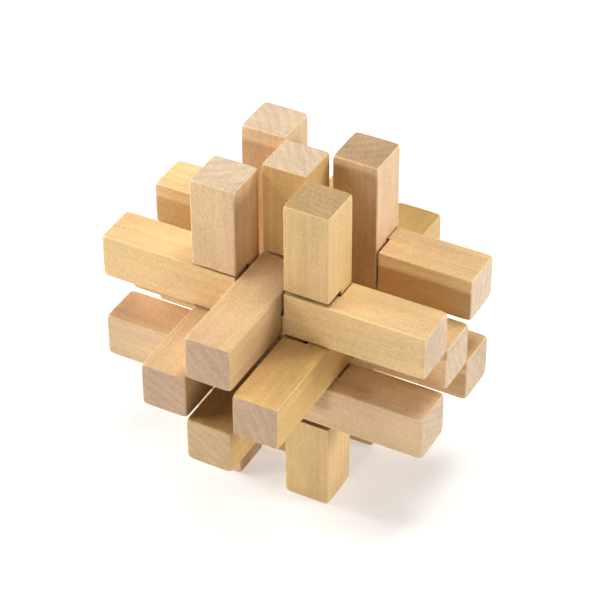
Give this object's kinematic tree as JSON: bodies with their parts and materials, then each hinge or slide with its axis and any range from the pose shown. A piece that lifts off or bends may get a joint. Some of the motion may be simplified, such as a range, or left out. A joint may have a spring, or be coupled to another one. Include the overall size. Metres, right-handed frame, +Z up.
{
  "type": "wooden burr puzzle",
  "caption": "Burr puzzle of equal square wooden sticks with half-depth notches, crossing in three directions; a centre group slides sideways to open it.",
  "frame": {"origin": "middle of the base, on the plane of the uprights' lower ends", "axes": "+Z up along the uprights, +X the way the key sticks slide out, +Y along the lengthwise sticks towards the back"},
  "size_m": [0.0754, 0.0752, 0.0752],
  "materials": {
    "cream_wood": "sanded, unfinished pale hardwood, cream",
    "golden_wood": "sanded, unfinished pale hardwood, golden",
    "pink_wood": "sanded, unfinished pale hardwood, pinkish"
  },
  "bodies": {
    "locked_sticks": {"crosswise_stick_front_top": "cream_wood", "crosswise_stick_front_bottom": "pink_wood", "crosswise_stick_back_top": "golden_wood", "crosswise_stick_back_bottom": "cream_wood", "lengthwise_stick_top": "cream_wood", "lengthwise_stick_bottom": "golden_wood", "upright_stick_front_left": "cream_wood", "upright_stick_front_right": "cream_wood", "upright_stick_back_left": "pink_wood", "upright_stick_back_right": "pink_wood"},
    "key_crosswise": {"crosswise_stick_centre": "cream_wood"},
    "key_upright": {"upright_stick_centre": "cream_wood"},
    "key_left": {"lengthwise_stick_left": "golden_wood"},
    "key_right": {"lengthwise_stick_right": "cream_wood"}
  },
  "joints": [
    {"name": "key_slide", "type": "slide", "parent": "locked_sticks", "child": "key_crosswise", "axis": [1, 0, 0], "range_m": [0, 0.0106]},
    {"name": "key_upright_slide", "type": "slide", "parent": "locked_sticks", "child": "key_upright", "axis": [1, 0, 0], "range_m": [0, 0.0106]},
    {"name": "key_left_slide", "type": "slide", "parent": "locked_sticks", "child": "key_left", "axis": [1, 0, 0], "range_m": [0, 0.0106]},
    {"name": "key_right_slide", "type": "slide", "parent": "locked_sticks", "child": "key_right", "axis": [1, 0, 0], "range_m": [0, 0.0106]}
  ],
  "couplings": [
    {"joint": "key_upright_slide", "follows": "key_slide", "ratio": 1},
    {"joint": "key_left_slide", "follows": "key_slide", "ratio": 1},
    {"joint": "key_right_slide", "follows": "key_slide", "ratio": 1}
  ]
}
